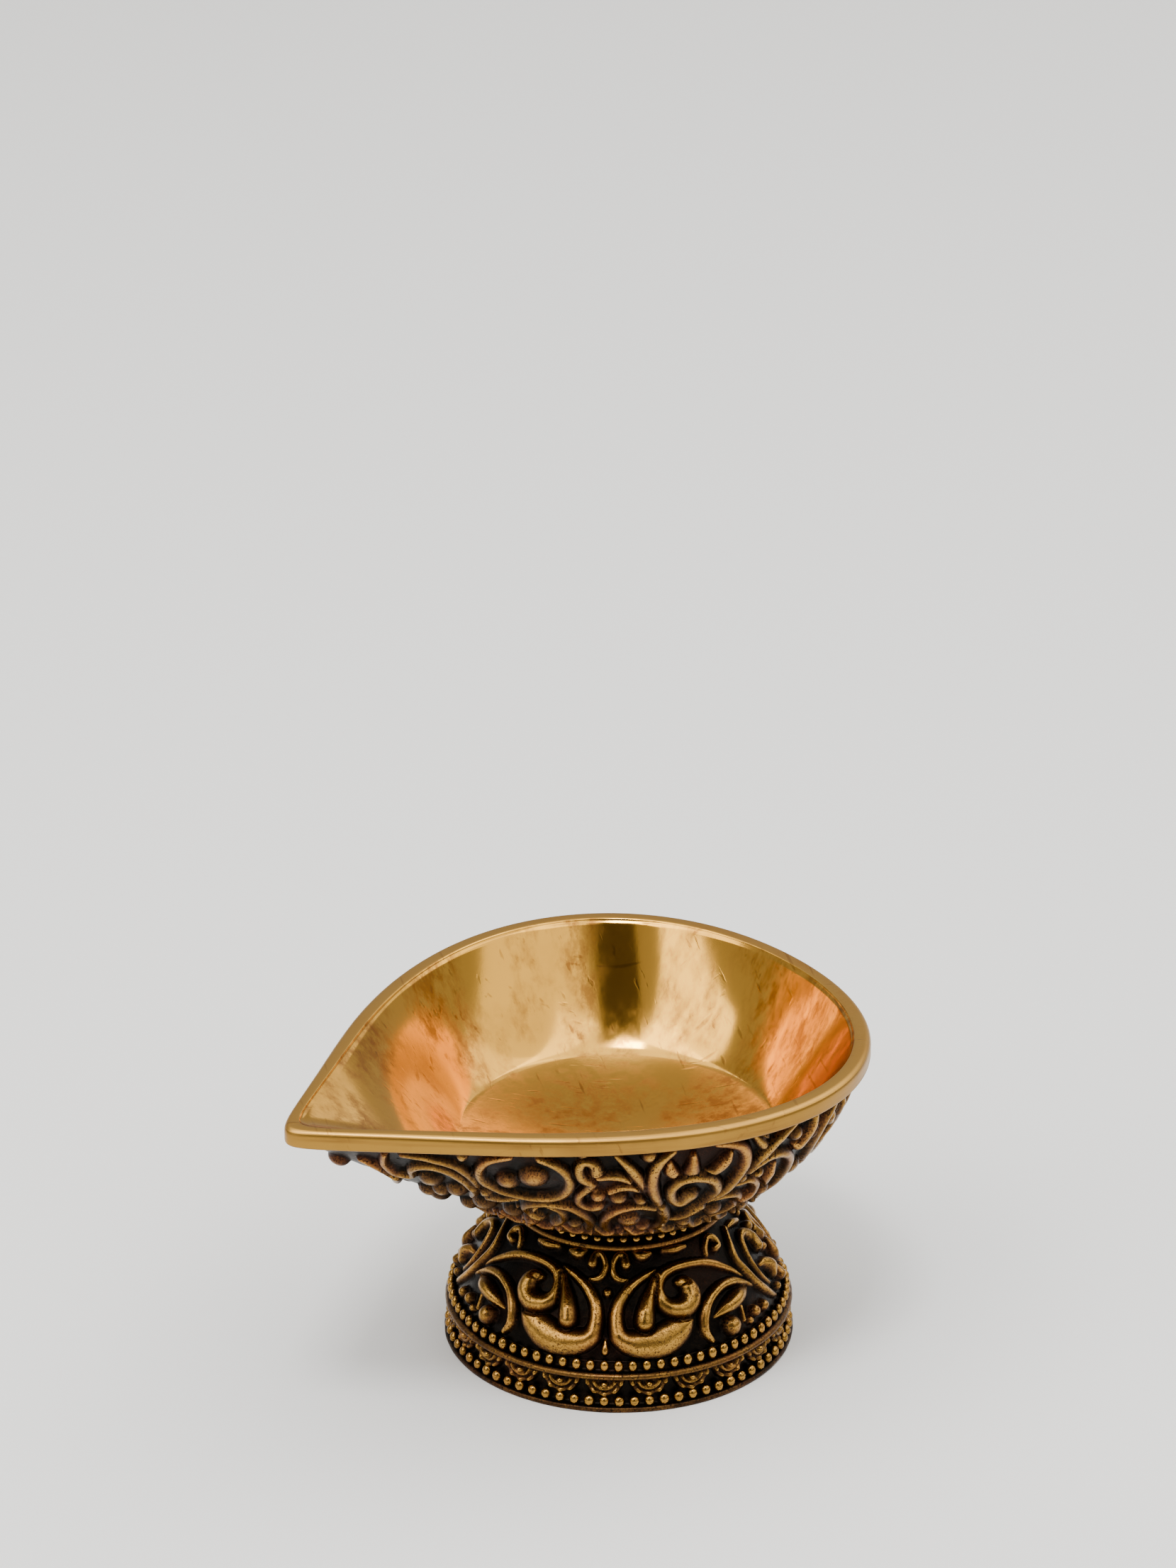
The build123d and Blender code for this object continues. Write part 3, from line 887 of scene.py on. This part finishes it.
# %% Chasing the dome
FOOT_AROUND = 900
dome_rings = [(r * MM, h * MM, 0.0) for r, h in smooth_line(DOME_PROFILE, 0.21)]
foot_angles = even_angles(FOOT_AROUND)
dome = ring_points(foot_angles, dome_rings)
dome_strokes = [
    on_dome(s, side, half)
    for s in SCROLL_PAIR + SIDE_ORNAMENT for side in (1, -1) for half in (0.0, math.pi)
]
height, relief = chase(dome, dome_strokes, tallest=2.4 * MM, flank=0.2, rub=1.0)
height += casting_grain(dome, 0.06 * MM, 5)
dome = dome + outward(dome) * height[..., None]

PLATE = 3.0 * MM
HOLE = 2.75 * MM
plate_low = FOOT_TOP - PLATE
inner_side = [(HOLE, FOOT_TOP, 0), (HOLE, plate_low, 0), (8 * MM, plate_low, 0),
              (14.6 * MM, plate_low, 0), (17.4 * MM, 20.7 * MM, 0), (20.2 * MM, 18.2 * MM, 0),
              (22.8 * MM, 15.2 * MM, 0), (24.6 * MM, 12.2 * MM, 0), (25.6 * MM, 9.1 * MM, 0)]
whole = np.vstack([dome, ring_points(foot_angles, inner_side), dome[:1]])
plain = np.zeros((len(inner_side), relief.shape[1]))
mask = np.vstack([relief, plain, relief[:1]])
foot_dome = rolled_sheet("foot_dome", whole, {"relief": mask})
finish_piece(foot_dome, FOOT_BRASS, "antique_brass", "foot")

# %% [markdown]
# ## The skirt of the foot
#
# Below the dome the foot has a straight skirt: a seat for the upper beads, a wire ledge worn
# rough, a band of small fan-shaped petals, a seat for the lower beads and a thin plinth. Each
# petal is a formula in its reach from the root and the ray's direction: a fluted ridge round the
# rim, a second ridge inside it and a ball at the heart. The formula repeats round the band.

# %% The skirt's rings and petals
LEDGE_LOW = 6.1 * MM
skirt_profile = [(28.4, 9.0), (28.5, 8.5), (28.6, 7.7), (28.8, 7.3), (29.5, 7.25), (30.1, 7.1),
                 (30.4, 6.75), (30.4, 6.45), (30.1, 6.15), (29.4, 6.05)]
skirt_profile += [(28.75, z) for z in np.arange(5.95, 2.45, -0.13)]
skirt_profile += [(28.9, 2.35), (29.0, 1.8), (29.1, 1.2), (29.5, 0.98), (30.2, 0.92),
                  (30.5, 0.8), (30.6, 0.6), (30.6, 0.25), (30.45, 0.0), (28.5, 0.0), (28.3, 0.2),
                  (27.4, 3.8), (26.4, 7.4), (25.6, 9.1)]
skirt_rings = [(r * MM, h * MM, 0.0) for r, h in skirt_profile]
skirt = ring_points(foot_angles, skirt_rings)
PETALS = 24
PETAL_WIDTH = 3.55 * MM
PETAL_DROP = 3.6 * MM
PETALS_END = 2.5 * MM
HEART_RADIUS = 0.72 * MM
HEART_DOWN = 0.30
pattern_angle = np.arctan2(skirt[..., 1], skirt[..., 0]) - PATTERN_TURN
pitch = 2 * math.pi / PETALS
local = (pattern_angle / pitch + 0.5) % 1.0 - 0.5
sideways = local * pitch * 29 * MM / PETAL_WIDTH
down = (LEDGE_LOW - skirt[..., 2]) / PETAL_DROP
from_foot_axis = np.hypot(skirt[..., 0], skirt[..., 1])
outside = (skirt[..., 2] < LEDGE_LOW) & (skirt[..., 2] > PETALS_END)
outside &= (from_foot_axis < 28.9 * MM) & (from_foot_axis > 28.6 * MM)
reach = np.sqrt(sideways ** 2 + down ** 2)
ray = np.arctan2(sideways, np.maximum(down, 1e-6))
lobes = 0.5 + 0.5 * np.cos(ray * 10.0)


def ridge_at(middle, half):
    """A round ridge at one distance from the petal's root."""
    return np.sqrt(np.clip(1 - ((reach - middle) / half) ** 2, 0, 1))


body = np.clip((0.97 - reach) / 0.05, 0, 1) ** 0.5
lift = 0.45 * body * MM
lift = np.maximum(lift, (0.75 + 0.5 * lobes) * ridge_at(0.84, 0.15) * MM)
lift = np.maximum(lift, 1.15 * ridge_at(0.54, 0.13) * MM * (np.abs(ray) < 1.3))
heart_across = sideways * PETAL_WIDTH
heart_down = (down - HEART_DOWN) * PETAL_DROP
heart = np.sqrt(heart_across ** 2 + heart_down ** 2) / HEART_RADIUS
lift = np.maximum(lift, 1.5 * MM * np.sqrt(np.clip(1 - heart ** 2, 0, 1)))
lift = np.where(outside, lift, 0.0)
relief = np.where(outside, np.clip(lift / (1.3 * MM), 0, 1) ** 1.4, 0.1)
on_ledge = (skirt[..., 2] > LEDGE_LOW) & (skirt[..., 2] < LEDGE_LOW + 1.1 * MM)
on_ledge &= from_foot_axis > 29.9 * MM
relief = np.where(on_ledge, 0.60, relief)
on_plinth = (skirt[..., 2] < 0.95 * MM) & (from_foot_axis > 30.3 * MM)
relief = np.where(on_plinth, 0.42, relief)
radial = skirt * np.array([1.0, 1.0, 0.0])
radial /= np.linalg.norm(radial, axis=-1, keepdims=True)
grain = casting_grain(skirt, 0.05 * MM, 7) * (skirt[..., 2] > 0.1 * MM)
skirt = skirt + radial * (lift + np.minimum(grain, 0.02 * MM))[..., None]
whole = np.vstack([skirt, skirt[:1]])
foot_skirt = rolled_sheet("foot_skirt", whole, {"relief": np.vstack([relief, relief[:1]])})
finish_piece(foot_skirt, FOOT_BRASS, "antique_brass", "foot")

# %% [markdown]
# ## Beads
#
# One bead is a small sphere. Spin with duplicates sets the row round the axis, and each bead is
# then made a little larger or smaller, because a cast row is never even.

# %% The bead rows
def bead_row(name, count, row_radius, height, radius, tall, start, node, seed):
    bpy.ops.mesh.primitive_uv_sphere_add(
        segments=10, ring_count=7, radius=radius,
        location=(row_radius * math.cos(start), row_radius * math.sin(start), height),
    )
    row = bpy.context.object
    row.name = name
    bpy.ops.object.transform_apply(location=True, rotation=False, scale=False)
    one = len(row.data.vertices)
    bpy.ops.object.mode_set(mode="EDIT")
    bpy.ops.mesh.select_all(action="SELECT")
    bpy.ops.mesh.spin(
        steps=count - 1, dupli=True, angle=2 * math.pi * (count - 1) / count,
        center=(0, 0, 0), axis=(0, 0, 1),
    )
    bpy.ops.object.mode_set(mode="OBJECT")
    points = np.zeros(len(row.data.vertices) * 3)
    row.data.vertices.foreach_get("co", points)
    beads = points.reshape(-1, one, 3)
    rng = np.random.default_rng(seed)
    middles = beads.mean(axis=1, keepdims=True)
    sizes = 1 + rng.uniform(-0.10, 0.0, (len(beads), 1, 1))
    stretch = np.array([1.0, 1.0, tall])
    beads = middles + (beads - middles) * sizes * stretch
    row.data.vertices.foreach_set("co", beads.ravel())
    # Each bead's mask is high on its outer side, rubbed bright, and low against the skirt, where
    # patina gathers; its rise towards the bead's top is painted highlight.
    out = np.linalg.norm(beads[..., :2], axis=-1) - row_radius
    mask = np.clip(0.5 + out / radius * 0.9 + (beads[..., 2] - height) / radius * 0.25, 0, 1)
    layer = row.data.attributes.new("relief", "FLOAT", "POINT")
    layer.data.foreach_set("value", mask.ravel().astype(np.float32))
    bpy.ops.object.shade_smooth()
    row.select_set(False)
    print(name, "beads:", len(beads))
    finish_piece(row, BEAD_BRASS, "antique_brass", node)


bead_row("foot_upper_beads", 76, 29.2 * MM, 8.45 * MM, 0.92 * MM, 1.3, PATTERN_TURN, "foot", 11)
bead_row("foot_lower_beads", 72, 29.6 * MM, 1.8 * MM, 1.0 * MM, 1.1, PATTERN_TURN, "foot", 12)

# %% [markdown]
# ## The collar
#
# A plain ledge with a row of flattened beads on it, pinched between bowl and foot. Its profile is
# drawn as a short chain of edges and turned with Spin.

# %% Turning the collar
def turned(name, profile, steps):
    """Spins a chain of (radius, height) points once round the axis."""
    mesh = bpy.data.meshes.new(name)
    mesh.from_pydata(
        [(r, 0, h) for r, h in profile], [(i, i + 1) for i in range(len(profile) - 1)], []
    )
    piece = bpy.data.objects.new(name, mesh)
    bpy.context.scene.collection.objects.link(piece)
    bpy.ops.object.select_all(action="DESELECT")
    piece.select_set(True)
    bpy.context.view_layer.objects.active = piece
    bpy.ops.object.mode_set(mode="EDIT")
    bpy.ops.mesh.select_all(action="SELECT")
    bpy.ops.mesh.spin(steps=steps, angle=2 * math.pi, center=(0, 0, 0), axis=(0, 0, 1))
    bpy.ops.object.mode_set(mode="OBJECT")
    weld(piece)
    return piece


COLLAR_SEAT = COLLAR - 1.9 * MM
ledge_top = FOOT_TOP + 1.3 * MM
collar_profile = [
    (HOLE, FOOT_TOP), (COLLAR - 0.5 * MM, FOOT_TOP), (COLLAR - 0.1 * MM, FOOT_TOP + 0.25 * MM),
    (COLLAR, FOOT_TOP + 0.65 * MM), (COLLAR - 0.1 * MM, FOOT_TOP + 1.05 * MM),
    (COLLAR - 0.5 * MM, ledge_top), (COLLAR_SEAT, ledge_top), (COLLAR_SEAT, SEAT),
    (HOLE, SEAT), (HOLE, FOOT_TOP),
]
collar = turned("collar_ledge", collar_profile, 160)
shine = collar.data.attributes.new("relief", "FLOAT", "POINT")
shine.data.foreach_set("value", [
    0.66 if math.hypot(v.co.x, v.co.y) > COLLAR - 0.3 * MM else 0.3 for v in collar.data.vertices
])
finish_piece(collar, FOOT_BRASS, "antique_brass", "neck_collar")
bead_row(
    "collar_beads", 50, COLLAR - 1.4 * MM, 26.65 * MM, 0.76 * MM, 0.95, PATTERN_TURN,
    "neck_collar", 13,
)

# %% [markdown]
# ## The hardware under the foot
#
# The stud, washer and nut have the right shape in the frame already. They only need a plated
# finish: a slightly uneven grey with a warm cast.

# %% Plated steel
def plated_steel():
    material, nodes, links, shader = bare_metal("plated_steel")
    place = nodes.new("ShaderNodeTexCoord").outputs["Object"]
    cloud = noise_node(nodes, links, place, 900.0, 4.0)
    tint = ramp_node(nodes, [(0.3, (0.48, 0.45, 0.38)), (0.7, (0.66, 0.64, 0.60))])
    links.new(cloud, tint.inputs["Fac"])
    links.new(tint.outputs["Color"], shader.inputs["Base Color"])
    rough = maths(nodes, links, "MULTIPLY", cloud, 0.25)
    links.new(maths(nodes, links, "ADD", rough, 0.22), shader.inputs["Roughness"])
    return material


PLATED = plated_steel()
for node in ("fixing_stud", "washer", "hex_nut"):
    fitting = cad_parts[node]
    fitting.data.materials.clear()
    fitting.data.materials.append(PLATED)

# %% [markdown]
# ## The studio
#
# A pale floor, a dim room, one small key light and some wide soft panels. The panels matter more
# than usual: the polished basin is a mirror, so their edges are drawn across it, and the black
# card between them is the dark stripe down its back wall.

# %% Floor
def plain_material(name, colour, roughness):
    material = bpy.data.materials.new(name)
    material.use_nodes = True
    shader = material.node_tree.nodes["Principled BSDF"]
    shader.inputs["Base Color"].default_value = (*colour, 1)
    shader.inputs["Roughness"].default_value = roughness
    return material


bpy.ops.object.select_all(action="DESELECT")
bpy.ops.mesh.primitive_plane_add(size=8.0, location=(0, 0, 0))
floor = bpy.context.object
floor.name = "floor"
floor.data.materials.append(plain_material("paper", (0.90, 0.895, 0.88), 0.9))
print("floor is", round(floor.dimensions.x, 1), "m wide")

# %% [markdown]
# ## Light
#
# Each panel is placed by its turn from the camera's side and its lift above the table, as a
# reflection in the bowl is worked out. Its glow is the brightness of its face, whatever its size.

# %% Light
VIEW_TURN = math.radians(-125.78)


def placed(turn, lift, distance):
    """A place at a turn from the camera's side, and the rotation that faces the lamp from it."""
    away = math.radians(lift)
    side = VIEW_TURN + math.radians(turn)
    place = (
        distance * math.cos(away) * math.cos(side),
        distance * math.cos(away) * math.sin(side),
        distance * math.sin(away) + 0.045,
    )
    return place, (math.pi / 2 - away, 0, side + math.pi / 2)


def panel(name, turn, lift, distance, size, glow, colour=(1, 1, 1)):
    """A soft light aimed at the lamp. Its glow is how bright its face looks."""
    place, facing = placed(turn, lift, distance)
    bpy.ops.object.light_add(type="AREA", location=place)
    lamp = bpy.context.object
    lamp.name = name
    lamp.rotation_euler = facing
    lamp.data.shape = "RECTANGLE"
    lamp.data.size, lamp.data.size_y = size
    lamp.data.energy = glow * math.pi * size[0] * size[1]
    lamp.data.color = colour


def dark_card(name, turn, lift, distance, size):
    """A black card that keeps light off, and gives the mirror something dark to show."""
    place, facing = placed(turn, lift, distance)
    bpy.ops.mesh.primitive_plane_add(size=1.0, location=place, rotation=facing)
    card = bpy.context.object
    card.name = name
    card.scale = (size[0], size[1], 1)
    card.data.materials.append(BLACK_CARD)


world = bpy.data.worlds.new("studio")
bpy.context.scene.world = world
world.use_nodes = True
world.node_tree.nodes["Background"].inputs["Color"].default_value = (1.0, 0.985, 0.96, 1)
world.node_tree.nodes["Background"].inputs["Strength"].default_value = 0.42

BLACK_CARD = plain_material("black_card", (0.03, 0.025, 0.02), 0.8)
panel("overhead", 0, 88, 1.5, (2.4, 2.4), 1.7)
panel("key", -14, 66, 1.2, (0.26, 0.26), 34.0)
panel("right_window", 76, 42, 1.5, (2.6, 1.2), 1.1, (1.0, 0.98, 0.92))
panel("far_window", 126, 40, 1.5, (1.5, 1.2), 0.8, (1.0, 0.98, 0.92))
panel("left_window", -58, 42, 1.5, (1.15, 1.1), 2.9, (1.0, 0.98, 0.93))
dark_card("stand", -3, 38, 1.35, (0.54, 1.3))
print("lights:", len(bpy.data.lights))

# %% [markdown]
# ## The camera
#
# A long lens a metre away looks down at the lamp from about thirty degrees.

# %% Camera
FOCAL_LENGTH = 130.0
DISTANCE = 1.0
LIFT = math.radians(29.7)
bpy.ops.object.camera_add(
    location=(
        DISTANCE * math.cos(LIFT) * math.cos(VIEW_TURN),
        DISTANCE * math.cos(LIFT) * math.sin(VIEW_TURN),
        DISTANCE * math.sin(LIFT),
    ),
    rotation=(math.radians(90 - 24.25), 0, VIEW_TURN + math.pi / 2 + math.radians(0.355)),
)
camera = bpy.context.object
camera.data.lens = FOCAL_LENGTH
camera.data.sensor_width = 36.0
camera.data.clip_start = 0.05
bpy.context.scene.camera = camera

print("camera is", DISTANCE, "m away")
